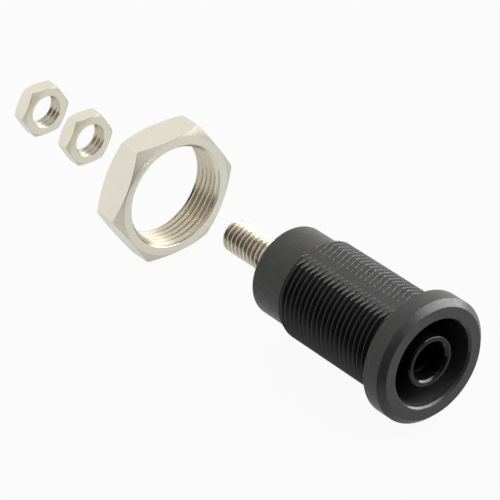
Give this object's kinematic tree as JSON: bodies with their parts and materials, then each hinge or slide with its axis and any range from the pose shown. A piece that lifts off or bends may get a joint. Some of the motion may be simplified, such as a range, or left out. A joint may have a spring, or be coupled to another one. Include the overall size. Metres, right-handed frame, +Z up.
{
  "type": "banana jack",
  "caption": "Shrouded 4 mm panel jack with a threaded barrel, a threaded wiring stud, a panel nut and terminal nuts laid out along its axis.",
  "frame": {"origin": "on the jack's axis, in the plane of the flange's rear face, where it meets the panel", "axes": "+Y along the jack's axis, from the plug side to the wiring side; +Z up, as the jack lies in the picture"},
  "size_m": [0.0172, 0.0724, 0.0156],
  "materials": {
    "housing_black": "matt black moulded plastic with a fine grain",
    "sleeve_black": "glossy black moulded plastic",
    "nickel": "bright nickel plating on turned brass"
  },
  "bodies": {
    "jack": {"housing": "housing_black", "inner_sleeve": "sleeve_black", "contact_socket": "nickel"},
    "panel_nut": {"panel_nut": "nickel"},
    "inner_nut": {"terminal_nut_inner": "nickel"},
    "outer_nut": {"terminal_nut_outer": "nickel"}
  },
  "joints": [
    {"name": "panel_nut_slide", "type": "slide", "parent": "jack", "child": "panel_nut", "axis": [0, -1, 0], "range_m": [0, 0.0406]},
    {"name": "inner_nut_slide", "type": "slide", "parent": "jack", "child": "inner_nut", "axis": [0, -1, 0], "range_m": [0, 0.0372]},
    {"name": "outer_nut_slide", "type": "slide", "parent": "inner_nut", "child": "outer_nut", "axis": [0, -1, 0], "range_m": [0, 0.0068]}
  ]
}
